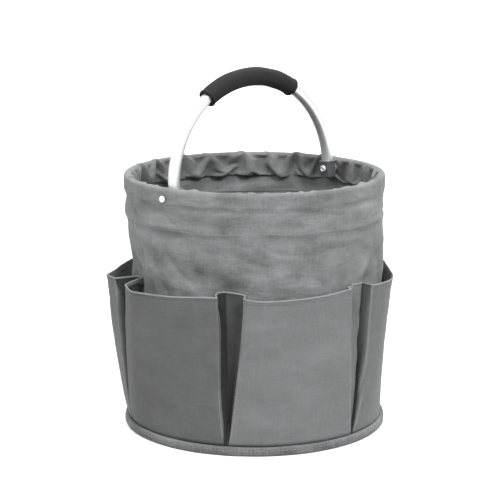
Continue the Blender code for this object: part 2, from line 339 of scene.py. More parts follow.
wall_cloth = cloth_material("wall_oxford_cloth", (0.173, 0.175, 0.177), crush=1.1 * MM,
                            shade=0.24, cloudy=1.00)
pocket_cloth = cloth_material("pocket_oxford_cloth", (0.159, 0.161, 0.163), crush=0.40 * MM)
rim_cloth = cloth_material("rim_oxford_cloth", (0.186, 0.188, 0.190), crush=1.1 * MM,
                           shade=0.24, cloudy=0.90)
base_cloth = cloth_material("base_oxford_cloth", (0.150, 0.152, 0.154))
tape_cloth = cloth_material("binding_tape_cloth", (0.149, 0.151, 0.153), thread=0.9 * MM,
                            weave=0.30 * MM, shade=0.45, cloudy=1.08)
sewing_thread = thread_material("sewing_thread", (0.25, 0.252, 0.256))
tube_metal = metal_material("satin_aluminium", (0.86, 0.865, 0.87), 0.36, (3.0, 900.0, 900.0),
                            metallic=0.82)
rivet_metal = metal_material("plated_rivet", (0.86, 0.86, 0.87), 0.40, (400.0, 400.0, 400.0),
                             metallic=0.6)
hoop_metal = metal_material("rolled_strip", (0.62, 0.625, 0.635), 0.40, (300.0, 300.0, 900.0))
grip_foam = foam_material("grip_foam", (0.011, 0.011, 0.0115))
socket_plastic = plastic_material("socket_plastic", (0.105, 0.107, 0.110), 0.32)
washer_nylon = plastic_material("washer_nylon", (0.52, 0.52, 0.51), 0.5)
board_plastic = plastic_material("board_plastic", (0.055, 0.055, 0.058), 0.6)


# ---- the bag's wall ----
LOW_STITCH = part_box("rim_casing")[0].z  # seam that closes the rim casing, outside
HIGH_STITCH = 0.2575  # cloth drawn in just under the hoop
HOOP_OUT = 0.1402  # the hoop's outer face, with room for the cloth
HOOP_IN = 0.1362
RIVET_OUT = 0.141  # where the rivets pass through the cloth
WALL_TOP = 0.2570  # the wall ends inside the casing
DENT_FOOT, DARK_FOOT = 0.8, 1.6  # degrees that a dent and its painted shade reach at the foot
DARK_FROM, DARK_TO = 0.20, 0.80  # share of a pocket's height over which the painted shade fades

# Slack cloth lies in soft creases: height, how far each wanders, depth, half height, seed
SOFT_CREASES = ((0.2305, 2.5 * MM, 0.95 * MM, 4.0 * MM, 101),
                (0.2420, 3.0 * MM, 0.55 * MM, 3.5 * MM, 103),
                (0.2170, 6.0 * MM, 0.60 * MM, 5.0 * MM, 111),
                (0.1950, 9.0 * MM, 0.45 * MM, 6.0 * MM, 107))

# Behind the pleats the wall is drawn in, in a wedge that narrows to the foot of each seam. For
# each seam, from the one at 30 degrees on: how far past the seam its middle is at the top and how
# wide it is to each side, in degrees, its depth, how wide to each side the cloth gets painted
# shade, and how much of that shade is left at the top.
TUCKS = ((1.5, 6.0, 6.5 * MM, 10.0, 0.74), (0.5, 6.5, 6.0 * MM, 10.0, 0.74),
         (0.5, 6.0, 8.0 * MM, 11.0, 0.85), (1.0, 6.8, 8.5 * MM, 10.0, 0.72),
         (13.0, 3.8, 9.0 * MM, 4.8, 0.36), (1.5, 6.0, 6.5 * MM, 10.0, 0.74))


def mean_radius(height):
    """Outer face of the bag, averaged round it."""
    heights = (0.000, 0.010, 0.030, 0.090, 0.150, 0.180, 0.200, 0.215, 0.232, 0.247, 0.254, 0.257,
               0.261, 0.280)
    radii = (0.1375, 0.1373, 0.1366, 0.1358, 0.1350, 0.1356, 0.1367, 0.1377, 0.1386, 0.1395,
             0.1399, 0.1402, 0.1413, 0.1413)
    return np.interp(height, heights, radii)


def pull_in(angle, height):
    """The bag leans in on its back left side between the rim and the base."""
    depth = np.interp(height, (0.0, 0.10, 0.180, 0.2025, 0.2135, 0.232),
                      (0.0, 2.2 * MM, 3.4 * MM, 1.8 * MM, 0.9 * MM, 0.0))
    return depth * np.cos(angle - math.radians(312.0))


def creased(angle, height, seed, lobes, wavelengths, terms=7):
    """Ridged noise from -1 to about 1: rounded swells that meet in narrow creases."""
    warp = ring_noise(angle, height, seed + 1, (1, 7), (0.05, 0.16), 6)
    swell = ring_noise(angle + 0.05 * warp, height + 6.0 * MM * warp, seed, lobes, wavelengths,
                       terms)
    return 1.0 - 2.0 * np.exp(-np.abs(swell) * 1.6)


def pleat_dents(angle, height):
    """The wall is drawn in behind the valley between each two pockets: depth and share of painted
    shade.
    """
    rise = np.clip((height - pocket_hem) / (pocket_top - pocket_hem), 0.0, 1.15)
    tall = smoothstep(0.006, 0.030, height) * (1.0 - smoothstep(0.160, 0.198, height))
    total, dark = 0.0, 0.0
    for seam, (past, wide, deep, dark_wide, dark_top) in enumerate(TUCKS):
        middle = math.radians(30.0 + 60.0 * seam) + math.radians(past) * rise ** 0.85
        off = np.mod(angle - middle + math.pi, TURN) - math.pi
        total = total + deep * tall * np.exp(-(off / np.radians(DENT_FOOT + wide * rise)) ** 4)
        # Painted shade in the valley, fading towards the top.
        shade_left = 1.0 - (1.0 - dark_top) * smoothstep(DARK_FROM, DARK_TO, rise)
        dark = dark + shade_left * np.exp(-(off / np.radians(DARK_FOOT + dark_wide * rise)) ** 4)
    return total, dark


def seam_wander(angle):
    """How far the seam under the rim casing strays up or down."""
    return 0.9 * MM * lobe_noise(angle, 37, (2, 11), 9)


def loose_folds(angle, height):
    """How far the slack cloth stands out in broad swells, creases and small ripples."""
    low = 1.0 - smoothstep(0.195, 0.225, height)
    folds = 1.10 * ring_noise(angle, height, 3, (2, 6), (0.12, 0.40))
    folds = folds + 0.60 * creased(angle, height, 11, (4, 11), (0.05, 0.16))
    folds = folds + 1.00 * low * ring_noise(angle, height, 13, (7, 17), (0.08, 0.3))
    folds = folds + 0.55 * low * ring_noise(angle, height, 15, (12, 34), (0.03, 0.1), 14)
    folds = folds + 0.60 * (1.0 - 0.4 * low) * ring_noise(angle, height, 19, (2, 9),
                                                          (0.018, 0.045), 12)
    free = smoothstep(0.02, 0.12, height) * (1.0 - smoothstep(0.250, 0.260, height))
    return folds * free * MM


def s_curve(over):
    """A crease's profile: out above its middle and in below it, 1 deep at 1 from the middle."""
    return over * np.exp(0.5 - 0.5 * over ** 2)


def soft_creases(angle, height):
    total = 0.0
    for middle, wave, depth, tall, seed in SOFT_CREASES:
        path = middle + wave * lobe_noise(angle, seed, (1, 4), 5)
        some = np.clip(0.35 + 0.75 * lobe_noise(angle, seed + 1, (2, 7), 6), 0.0, 1.2)
        total = total + depth * some * s_curve((height - path) / tall)
    slack = np.clip(0.5 + 0.8 * lobe_noise(angle, 38, (2, 7), 7), 0.0, 1.5)
    below_seam = (height - seam_wander(angle) - LOW_STITCH + 0.5 * MM) / (4.5 * MM)
    return total + 0.75 * MM * slack * s_curve(below_seam)


def rivet_pucker(angle, height):
    """The cloth is pressed in at each rivet, with a faint raised ring round it."""
    from_rivet = np.hypot(np.sin(angle) * RIVET_OUT, height - pivot_z)
    return 0.35 * MM * bump_at(from_rivet, 8.0 * MM, 2.2 * MM) \
        - 1.1 * MM * bump_at(from_rivet, 0.0, 5.2 * MM)


def outer_face(angle, height):
    """Radius of the bag's outer cloth, with its dents, folds and puckered seams."""
    radius = mean_radius(height) + pull_in(angle, height) - pleat_dents(angle, height)[0]
    radius = radius + loose_folds(angle, height) + soft_creases(angle, height)
    patchy = 0.55 + 0.45 * ring_noise(angle, height, 27, (2, 8), (0.3, 0.6), 6)
    radius = radius - 0.50 * MM * bump_at(height, HIGH_STITCH, 3.2 * MM) * patchy
    near_hoop = smoothstep(0.252, 0.262, height)
    radius = radius + 0.20 * MM * near_hoop * ring_noise(angle, height, 28, (8, 26), (0.01, 0.03))
    radius = radius + rivet_pucker(angle, height)
    return np.maximum(radius, HOOP_OUT * smoothstep(HIGH_STITCH - 3.0 * MM, HIGH_STITCH, height))


def make_wall():
    step = 0.25 * MM  # the wall steps in under the casing over this height
    heights = np.concatenate([np.linspace(wall_foot, 0.150, 26)[:-1],
                              np.linspace(0.150, LOW_STITCH - 3.0 * step, 48),
                              LOW_STITCH + step * np.array((-1.2, -0.3, 1.0, 3.0)),
                              np.linspace(LOW_STITCH + 2.0 * MM, WALL_TOP, 12)])
    angle = round_angles(RING)[None, :]
    level = heights[:, None]
    tucked = smoothstep(LOW_STITCH - 0.3 * step, LOW_STITCH + step, level)
    near_seam = smoothstep(0.160, LOW_STITCH - 1.0 * MM, level) \
        * (1.0 - smoothstep(LOW_STITCH + 2.0 * MM, 0.250, level))
    height = level + seam_wander(angle) * near_seam
    points = polar(outer_face(angle, height) - tucked * 1.15 * MM, angle, height)
    wall = grid_object("bag_wall_cloth", points, cloth_uv(points, True), closed=True)
    wall.data.set_sharp_from_angle(angle=math.radians(45))
    thicken(wall)
    dress(wall, wall_cloth, "bag", "oxford_cloth", "bag_wall")


# ---- the rim: casing over the hoop and its gathered facing ----
ROLL_IN = 0.1325  # inner side of the roll over the hoop
ROLL_HIGH = 0.2727  # height of the roll's centre
FULLNESS = 0.17  # extra cloth round the facing
RIM_COLUMNS = 420
ROLL_ROWS = 9
FACING_ROWS = 17
PAD_OUT, PAD_HIGH = 0.1370, 0.2722  # centre of the folded cloth that pads the hoop's top,
PAD_WIDE, PAD_TALL = 4.2 * MM, 4.3 * MM  # and how far it reaches from there
SWING_FACE = 0.1336  # face of the facing where it may start to stand inwards
SETTLE_ROUNDS = 260
SAG = 0.004 * MM  # how far the cloth sinks in each round
# How far inwards the facing may stand, by distance from the pivot's line, so that it stays clear
# of the handle at every angle
SWING_ROOM = ((0.0, 0.016, 0.030, 0.042, 0.060, 0.080, 0.092, 0.105, 0.112, 0.120, 0.150),
              (0.9 * MM, 1.3 * MM, 2.6 * MM, 2.8 * MM, 3.6 * MM, 5.4 * MM, 6.4 * MM, 4.8 * MM,
               5.2 * MM, 7.0 * MM, 8.0 * MM))


def pull_together(x, free, first, second, rest, stiffness):
    """Moves two sets of points, given as index pairs, towards their rest distance."""
    a, b = x[first], x[second]
    gap = b - a
    length = np.linalg.norm(gap, axis=-1, keepdims=True)
    weight = free[first] + free[second]
    push = stiffness * (length - rest) / np.maximum(length * weight, 1e-9) * gap
    x[first] = a + free[first] * push
    x[second] = b - free[second] * push


def cloth_links(rest_across, rest_up):
    """Pairs of points of a closed band that pull on each other: rest distance and stiffness.

    Threads run across and up, on the bias, and over two or four points against bending.
    """
    every = np.arange(RIM_COLUMNS)
    rows = len(rest_across)
    bias = np.sqrt(((rest_across[1:] + rest_across[:-1]) / 2.0) ** 2 + rest_up ** 2)

    def across(reach, stiffness):
        for first in range(2 * reach):
            side = every[first::2 * reach]
            yield (slice(None), side), (slice(None), (side + reach) % RIM_COLUMNS), \
                reach * rest_across, stiffness

    def upward(reach, stiffness):
        for first in range(2 * reach):
            low = np.arange(first, rows - reach, 2 * reach)
            yield low, low + reach, sum(rest_up[low + k] for k in range(reach)), stiffness

    def on_bias(stiffness):
        for first in (0, 1):
            low = np.arange(first, rows - 1, 2)[:, None]
            for shift in (1, -1):
                yield (low, every[None, :]), (low + 1, (every[None, :] + shift) % RIM_COLUMNS), \
                    bias[low[:, 0]], stiffness

    return [*across(1, 0.9), *upward(1, 0.9), *on_bias(0.25), *across(2, 0.12), *across(4, 0.09),
            *upward(2, 0.10)]


def relax_cloth(start, rest_across, rest_up, free):
    """Lets a closed band of cloth, rows x columns of points, buckle to its rest lengths.

    rest_across has a length for each row and rest_up one for each gap between rows. free is 0
    where the cloth is sewn down.
    """
    x, last = start.copy(), start.copy()
    free = free[:, :, None]
    links = cloth_links(rest_across[:, None, None], rest_up[:, None, None])
    for _ in range(SETTLE_ROUNDS):
        swing = 0.90 * (x - last)
        last = x.copy()
        x = x + free * swing
        x[:, :, 2] -= SAG * free[:, :, 0]
        for link in links:
            pull_together(x, free, *link)
        x = clear_of_hoop_and_handle(x)
    return x


def clear_of_hoop_and_handle(points):
    """Keeps the facing off the hoop and out of the way of the handle's legs."""
    height = points[:, :, 2]
    radius = np.linalg.norm(points[:, :, :2], axis=2)
    room = np.interp(np.abs(points[:, :, 1]), *SWING_ROOM)
    inward = np.maximum(SWING_FACE - radius, 0.0)
    limited = np.where(inward > 0.0, SWING_FACE - np.minimum(inward, room), radius)
    inner_side = np.arange(len(points))[:, None] >= ROLL_ROWS - 1
    limited = np.where(inner_side & (height < PAD_HIGH + 1.3 * MM), np.minimum(limited, HOOP_IN),
                       limited)
    out, up = limited - PAD_OUT, height - PAD_HIGH
    reach = np.sqrt((out / PAD_WIDE) ** 2 + (up / PAD_TALL) ** 2)
    puff = np.where((reach < 1.0) & (up > 0.0), 1.0 / np.maximum(reach, 0.05), 1.0)
    limited = PAD_OUT + out * puff
    scaled = points.copy()
    scaled[:, :, :2] *= (limited / radius)[:, :, None]
    scaled[:, :, 2] = np.minimum(PAD_HIGH + up * puff, rim_top + 1.2 * MM)
    low = facing_hem - 0.3 * MM
    scaled[-1, :, 2] = np.clip(scaled[-1, :, 2], low, low + 2.2 * MM)
    return scaled


def gathered_facing():
    """The cloth over the roll and inside it, as rows x columns of points, once it has buckled."""
    angle = round_angles(RIM_COLUMNS)
    half = (rim_out - ROLL_IN) / 2.0
    middle = (rim_out + ROLL_IN) / 2.0
    turn = np.linspace(0.0, math.pi, ROLL_ROWS)
    drop = np.linspace(0.0, 1.0, FACING_ROWS + 1)[1:]
    fall = ROLL_HIGH - facing_hem - 1.0 * MM
    fall_in = ROLL_IN - 0.6 * MM * np.sin(math.pi * drop) + 3.0 * MM * smoothstep(0.55, 1.0, drop)
    radius = np.concatenate([middle + half * np.cos(turn), fall_in])
    height = np.concatenate([ROLL_HIGH + half * np.sin(turn), ROLL_HIGH - fall * drop])
    rows = len(radius)
    share = np.arange(rows) / (ROLL_ROWS - 1.0)
    loose = smoothstep(0.28, 1.05, share)
    shake = ring_noise(angle[None, :], height[:, None], 34, (8, 26), (0.020, 0.060), 24)
    start = polar(radius[:, None] - 0.5 * MM * loose[:, None] * (shake + 0.5), angle[None, :],
                  height[:, None])
    free = np.ones((rows, RIM_COLUMNS))
    free[:3] = 0.0  # held by the roll, and tacked here and there at the hem
    rng = np.random.default_rng(35)
    tack = 0
    while tack < RIM_COLUMNS - 5:
        free[-1, tack:tack + 2] = 0.0
        tack += int(rng.integers(9, 26))
    pitch = TURN * rim_out / RIM_COLUMNS
    fullness = 1.0 + FULLNESS * loose * np.concatenate([np.ones(rows - 5),
                                                        np.linspace(0.95, 0.6, 5)])
    rest_across = np.maximum(pitch * radius / rim_out * fullness, 1e-5)
    rest_up = np.concatenate([np.full(ROLL_ROWS - 1, math.pi * half / (ROLL_ROWS - 1.0)),
                              np.full(FACING_ROWS, 1.18 * fall / FACING_ROWS)])
    return angle[None, :], relax_cloth(start, rest_across, rest_up, free)


def make_rim():
    angle, facing = gathered_facing()
    heights = np.concatenate([LOW_STITCH + MM * np.array((-0.05, 0.20, 0.60)),
                              np.linspace(LOW_STITCH + 1.8 * MM, ROLL_HIGH, 34, endpoint=False)])
    heights = heights[:, None]
    near_seam = 1.0 - smoothstep(LOW_STITCH + 2.0 * MM, LOW_STITCH + 20.0 * MM, heights)
    heights = heights + seam_wander(angle) * near_seam
    join = smoothstep(0.266, ROLL_HIGH, heights)
    radius = outer_face(angle, heights) * (1.0 - join) + rim_out * join
    points = np.concatenate([polar(radius, angle, heights), facing])
    rim = grid_object("rim_cloth", points, cloth_uv(points, True), closed=True)
    # Painted shade on the facing to each side of the sockets.
    shade_by_socket = bump_at(np.abs(points[:, :, 1]), 12.0 * MM, 6.0 * MM)
    shade_by_socket[:len(points) - FACING_ROWS] = 0.0
    mark_cloth(rim, "painted_shade", 0.6 * shade_by_socket)
    thicken(rim)
    dress(rim, rim_cloth, "bag", "rim_cloth", "rim_casing", "rim_facing")


# ---- pockets ----
# Each pocket's top edge, from one seam to the other: degrees from the pocket's middle, mm from
# the bag's axis, mm above the hem line and mm of softness. The ends and the creases also have the
# degrees that they reach at the foot, how early their fold turns away from the foot (above 1 is
# early), and how late it comes out from the wall (above 1 is late).
POCKET_TOPS = {
    1: ((-29.4, 136.6, 2.5, 0.7, -29.6, 1, 1), (-25.5, 137, 1.5, 1.2),
        (-20, 150, 0, 1.4, -29.0, 1.2, 1), (-11, 149, -2, 6), (5, 147, -1.5, 9), (17, 147, 0, 6),
        (26.4, 150, 1.5, 0.5, 29.2, 1.6, 0.8), (25.6, 138, 2.5, 0.7),
        (29.4, 136.0, 2.5, 0.7, 29.6, 1, 1)),
    2: ((-29.4, 136.6, 2.5, 0.7, -29.6, 1, 1), (-25, 137, 1.5, 1.2),
        (-19, 148, 0, 1.6, -29.0, 1.2, 1), (-9, 152, -1.5, 6), (4, 150, -2, 9), (16, 146, 0, 6),
        (25.5, 149, 1.0, 0.5, 29.2, 1.6, 0.8), (24.8, 138, 2.0, 0.7),
        (29.4, 136.0, 2.5, 0.7, 29.6, 1, 1)),
    3: ((-29.4, 136.4, 2.5, 0.7, -29.6, 1, 1), (-24, 137, 1.5, 1.2),
        (-19, 147, 1, 1.6, -29.0, 1.2, 1), (-8, 145, 0.5, 6), (4, 148, 0.5, 6), (14, 153, 0.3, 4),
        (22.2, 163, 0, 1.3), (28.8, 156.5, 0, 0.7, 29.3, 1.0, 0.66), (28.6, 147, 0, 0.8),
        (27.6, 138.0, 0, 0.8), (29.4, 135.0, 0, 0.7, 29.6, 1, 1)),
    4: ((-29.6, 135.0, 0, 0.7, -29.8, 1, 1), (-25.0, 138, 0, 1.0), (-22.0, 148, 0, 1.2),
        (-20.2, 155.0, -1.0, 0.8, -29.0, 1.0, 0.62), (-14.5, 157.0, -5.0, 3.0), (-4, 151, -4.0, 6),
        (7, 149, -2.5, 9), (20.4, 145.8, 0.2, 5), (27.2, 147.6, 1.4, 0.35, 29.8, 4.2, 0.8),
        (25.6, 139.0, 2.4, 0.6, 29.3, 4.2, 0.8), (24.8, 131.5, 2.6, 0.6, 29.0, 3.6, 0.9),
        (28.4, 130.5, 3, 0.5, 29.9, 1, 1)),
    5: ((-31.4, 131.0, 3, 0.6, -29.9, 1, 1), (-26.0, 131.0, 2.2, 0.8), (-21.8, 133.0, 1.4, 0.8),
        (-22.6, 144.6, 0.8, 1.5, -29.8, 1.45, 0.85), (-20.8, 148.6, 0.2, 1.8),
        (-17.8, 151.8, -0.4, 2.4), (-13.5, 153.4, -0.8, 3), (-4, 150.5, -0.8, 8),
        (9, 147.5, -0.6, 9), (21, 143.5, 0.4, 5), (27.4, 142.4, 1.2, 0.35, 29.2, 1.2, 1),
        (26.6, 139.2, 2, 0.6), (29.6, 136.4, 2.5, 0.6, 29.7, 1, 1)),
    6: ((-31.3, 137.6, 4.5, 0.6, -29.8, 1, 1), (-23.2, 137.8, 2.6, 0.7), (-19.8, 133.0, 2.0, 0.8),
        (-20.6, 140.0, 1.4, 0.8), (-21.9, 148.6, 1, 2.0, -29.6, 2.5, 0.9), (-17.5, 151.0, 0, 2.4),
        (-11, 154.6, 0, 5), (-5, 155, 0, 6), (1.5, 152, -0.6, 6), (11, 147.5, 0, 6),
        (19, 146, 0.5, 5), (27.0, 149, 1.5, 0.5, 29.2, 1.6, 1.8), (26.4, 138, 2.5, 0.7),
        (29.4, 136.0, 2.5, 0.7, 29.6, 1, 1)),
}
PANEL_PAINTED_SHADE = {3: 0.10, 4: 0.38, 6: 0.22}  # painted shade over the whole panel of these pockets
POCKET_COLUMNS = 210
CLEAR = 0.5 * MM  # between a pocket and the wall it lies on
HEM_TALL = 6.8 * MM  # cloth turned in along the top edge
HEM_CLOTH = 0.35 * MM  # each layer of it, pressed thin
STITCH_DROP = 4.6 * MM  # from the top edge to its stitches
SHARPEST_BEND = 500.0  # per metre: a fold of 2 mm radius or less is wholly rubbed and gets the full painted highlight
PANEL_ROWS = np.concatenate([np.linspace(0.0, 0.945, 40)[:-1],
                             np.linspace(0.945, 1.0, 13)])[:, None]


def rounded_line(corners, count):
    """Samples a top edge and softens each corner by its own width.

    Gives its angle, distance from the axis and lift, and for each sample the angle at the foot,
    how early and how late it folds, and 1 on the panel's front and 0 at the seams.
    """
    at_corner = np.radians([c[0] for c in corners])
    out = np.array([c[1] for c in corners]) * MM
    lift = np.array([c[2] for c in corners]) * MM
    soft = np.array([c[3] for c in corners]) * MM
    plan = polar(out, at_corner, lift)
    along = lengths_along(plan)
    fine = np.linspace(0.0, along[-1], 3001)
    density = 0.45 + sum(np.exp(-((fine - a) / (2.2 * MM)) ** 2) for a in along)
    share = np.concatenate([[0.0], np.cumsum((density[1:] + density[:-1]) / 2.0)])
    at = np.interp(np.linspace(0.0, share[-1], count), share, fine)
    even = np.linspace(0.0, along[-1], 1201)
    line = np.stack([np.interp(even, along, plan[:, k]) for k in range(3)], axis=1)
    width = np.interp(at, along, soft)
    width = np.minimum(width, np.minimum(at, along[-1] - at) / 2.0 + 1e-5)
    weight = np.exp(-0.5 * ((at[:, None] - even[None, :]) / width[:, None]) ** 2)
    weight /= weight.sum(axis=1, keepdims=True)
    line = weight @ line
    marks = [(a, *c[4:]) for a, c in zip(along, corners) if len(c) > 4]
    places = [m[0] for m in marks]
    foot, early, late = (np.interp(at, places, [m[k] for m in marks]) for k in (1, 2, 3))
    sides = np.interp(at, (*places[:3], places[-1]), (0.0, 1.0, 1.0, 0.0))
    return np.arctan2(line[:, 1], line[:, 0]), np.hypot(line[:, 0], line[:, 1]), line[:, 2], \
        np.radians(foot), early, late, sides


def pocket_grid(number):
    """The pocket's outer face, rows x columns from foot to top, and its painted shade at each point.
    """
    top_angle, top_out, lift, foot, early, late, sides = rounded_line(POCKET_TOPS[number],
                                                                      POCKET_COLUMNS)
    middle = TURN * (number - 1) / 6.0
    rise = PANEL_ROWS
    height = pocket_hem + (pocket_top + lift * smoothstep(0.3, 1.0, rise) - pocket_hem) * rise
    turned = 1.0 - (1.0 - rise) ** early
    grow = rise ** late
    world = middle + foot * (1.0 - turned) + top_angle * turned
    wall = outer_face(world, height) + CLEAR + CLOTH
    foot_out = outer_face(middle + foot, pocket_hem) + CLEAR + CLOTH
    out = foot_out * (1.0 - grow) + top_out * grow
    dent, dark = pleat_dents(world, height)
    out = out - dent * (1.0 - smoothstep(0.5 * MM, 6.0 * MM, out - wall - dent))
    in_gusset = 1.0 - np.abs(2.0 * sides - 1.0) ** 5
    below_hem = 1.0 - smoothstep(0.80, 1.0, rise)
    out = out - 0.96 * in_gusset * below_hem * np.maximum(out - wall, 0.0)
    out = out + surface_waves(number, world, height, rise, out - wall)
    behind_crease = 1.0 - smoothstep(0.95, 1.0, sides)
    sunk = smoothstep(-1.0 * MM, 2.5 * MM, wall + dent - out)
    # Painted shade behind the creases and where the cloth sinks into a valley, plus painted shade over
    # some whole panels.
    share = np.maximum(behind_crease, sunk) * dark + PANEL_PAINTED_SHADE.get(number, 0.0)
    return polar(np.maximum(out, wall), world, height), share


def surface_waves(number, world, height, rise, stand):
    """Wrinkles of a pocket's panel, its double cloth at the hem, and the hem's puckered seam."""
    wrinkle = creased(world, height, 40 + number, (5, 16), (0.05, 0.15), 8)
    broad = ring_noise(world, height, 50 + number, (3, 9), (0.09, 0.30), 8)
    pucker = 1.0 + 0.5 * lobe_noise(world, 90 + number, (40, 110), 8)
    drop = (1.0 - rise) * (pocket_top - pocket_hem)
    doubled = 1.0 - smoothstep(3.2 * MM, STITCH_DROP, drop)
    drawn_in = pucker * bump_at(drop, STITCH_DROP, 0.9 * MM)
    loose = np.clip(stand / (4.0 * MM), 0.0, 1.0) * smoothstep(0.0, 0.2, rise)
    return loose * MM * (0.30 * wrinkle + 0.60 * broad + 0.30 * doubled - 0.22 * drawn_in)


def grid_normals(points):
    across = np.gradient(points, axis=1)
    up = np.gradient(points, axis=0)
    normal = np.cross(across, up)
    return normal / np.maximum(np.linalg.norm(normal, axis=2, keepdims=True), 1e-12)


def mark_cloth(obj, name, share):
    """Stores a share from 0 to 1 at each point, for the cloth's material."""
    mark = obj.data.attributes.new(name, "FLOAT", "POINT")
    mark.data.foreach_set("value", np.clip(share, 0.0, 1.0).astype(np.float32).ravel())


def down_from_top(points):
    drop = points[-2] - points[-1]
    return drop / np.linalg.norm(drop, axis=1, keepdims=True)


def make_hem(number, points):
    """The top edge turned in: a narrow roll at the top and a flap down the inside."""
    top, out = points[-1], grid_normals(points)[-1]
    down = down_from_top(points)
    half = CLOTH / 2.0 + HEM_CLOTH
    middle = top - out * CLOTH / 2.0
    flap = [middle + down * drop - out * half for drop in np.linspace(HEM_TALL, 1.0 * MM, 5)]
    roll = [middle + out * half * math.cos(turn) - down * half * math.sin(turn)
            for turn in np.linspace(math.pi, 0.0, 9)]
    lap = [middle + down * drop + out * half for drop in (0.4 * MM, 0.8 * MM)]
    end = [middle + down * 1.2 * MM + out * CLOTH * 0.3]
    # The roll along the top edge is lightened: wear, and a painted highlight along the fold.
    rubbed = [0.0] * len(flap) + [1.0] * len(roll) + [0.6] * len(lap) + [0.0]
    band = np.array(flap + roll + lap + end)
    hem = grid_object(f"pocket_{number}_hem", band[::-1], cloth_uv(band))
    mark_cloth(hem, "wear_and_highlight", np.repeat(np.array(rubbed[::-1])[:, None], band.shape[1], axis=1))
    thicken(hem, HEM_CLOTH)
    dress(hem, pocket_cloth, "bag", "pocket_cloth")
    return hem, float(lengths_along(band[:, 0])[-1])


def crease_sharpness(points):
    """How sharply the cloth bends outwards across a panel, 0 to 1."""
    ahead, behind = points[:, 2:] - points[:, 1:-1], points[:, :-2] - points[:, 1:-1]
    reach = np.linalg.norm(ahead, axis=2) * np.linalg.norm(behind, axis=2)
    fold = ahead / np.linalg.norm(ahead, axis=2, keepdims=True) \
        + behind / np.linalg.norm(behind, axis=2, keepdims=True)
    outward = -(fold * grid_normals(points)[:, 1:-1]).sum(axis=2) / np.sqrt(reach)
    sharp = np.zeros(points.shape[:2])
    sharp[:, 1:-1] = np.clip(outward / SHARPEST_BEND, 0.0, 1.0)
    return sharp


def make_pocket(number):
    points, pleat_and_panel_shade = pocket_grid(number)
    pocket = grid_object(f"pocket_{number}_cloth", points, cloth_uv(points))
    # Sharp outward creases are lightened: wear, and a painted highlight.
    mark_cloth(pocket, "wear_and_highlight", crease_sharpness(points))
    # Painted shade in the pleats and over the panel.
    mark_cloth(pocket, "painted_shade", pleat_and_panel_shade)
    thicken(pocket)
    dress(pocket, pocket_cloth, "bag", "pocket_cloth", f"pocket_{number}")
    hem, hem_cut = make_hem(number, points)
    width = float(lengths_along(points[-1])[-1])
    return points


# ---- base ----
# The tape's section: share of its depth out from the wall, and share of its height
TAPE_SECTION = ((0.0, 0.10), (0.02, 0.55), (0.10, 0.93), (0.35, 1.0), (0.70, 0.99), (0.93, 0.88),
                (1.0, 0.68), (0.99, 0.50), (1.0, 0.32), (0.93, 0.12), (0.70, 0.01), (0.35, 0.0),
                (0.05, 0.0))


def make_binding():
    """A tape folded round the raw edges at the foot of the bag."""
    angle = round_angles(3 * RING)
    inner = FOOT_RADIUS + 0.4 * MM
    deep = binding_out - inner
    wave = 0.22 * MM * lobe_noise(angle, 61, (4, 30), 12)
    lift = 0.25 * MM * lobe_noise(angle, 62, (3, 16), 9)
    rows = []
    for out, up in TAPE_SECTION[::-1]:
        ribs = 0.20 * MM * ring_noise(angle, 0.3 * up, 63, (120, 300), (1.0, 2.0), 24)
        rows.append(polar(inner + (deep + wave + ribs) * out, angle,
                          binding_top * up + lift * up * out))
    points = np.array(rows)
    tape = grid_object("base_binding_tape", points, cloth_uv(points, True), closed=True)
    thicken(tape, 0.5 * MM)
    dress(tape, tape_cloth, "bag", "binding_tape", "base_binding")
    cut_width = float(lengths_along(points[:, 0])[-1])


def make_disc(name, radius, height, face, puff, seed, node):
    """A round piece of cloth seen from above (face 1) or below (face -1)."""
    angle = round_angles(180)[None, :]
    spread = np.linspace(0.0, 1.0, 34)[1:, None]
    ripple = ring_noise(angle, spread * 0.13, seed, (2, 9), (0.03, 0.09), 10) * spread
    rise = height + face * puff * (0.5 + 0.5 * np.clip(ripple, -1.0, 1.0)) * (1.0 - spread ** 6)
    points = polar(radius * spread, angle, rise)
    if face > 0:
        points = points[::-1]
    flat = np.concatenate([points[:, :, :2], points[:, :1, :2]], axis=1)
    disc = grid_object(name, points, flat, closed=True)
    bm = bmesh.new()
    bm.from_mesh(disc.data)
    middle_hole = [e for e in bm.edges if e.is_boundary and e.verts[0].co.xy.length < radius * 0.1]
    bmesh.ops.holes_fill(bm, edges=middle_hole)
    bmesh.ops.recalc_face_normals(bm, faces=bm.faces)
    bm.normal_update()
    if sum(f.normal.z for f in bm.faces) * face < 0:
        bmesh.ops.reverse_faces(bm, faces=bm.faces)
    bm.to_mesh(disc.data)
    bm.free()
    thicken(disc, 0.8 * MM)
    dress(disc, base_cloth, "bag", "lining_cloth", node)


# ---- handle ----
LEAN_TURN = Matrix.Translation((0.0, 0.0, pivot_z)) @ Matrix.Rotation(-LEAN, 4, "X")
ARCH_RISE = 0.1136  # top of the tube's middle line over the pivot
ARCH_SPRING = 0.0060  # where the straight legs end
TUBE_FOOT = -8.3 * MM
TUBE_OUT, TUBE_WALL = 6.25 * MM, 1.2 * MM
GRIP_OUT, GRIP_FOAM = 9.9 * MM, 3.1 * MM
GRIP_LONG = 150.0 * MM  # along its curve
GRIP_REACH = 68.0 / 123.5  # share of the arch's half width that it covers
SOCKET_ABOVE, SOCKET_BELOW, SOCKET_HALF = 8.6 * MM, 9.8 * MM, 7.25 * MM


def arch_point(turn):
    height = ARCH_SPRING + (ARCH_RISE - ARCH_SPRING) * math.sin(turn)
    return Vector((-leg_x * math.cos(turn), 0.0, height))


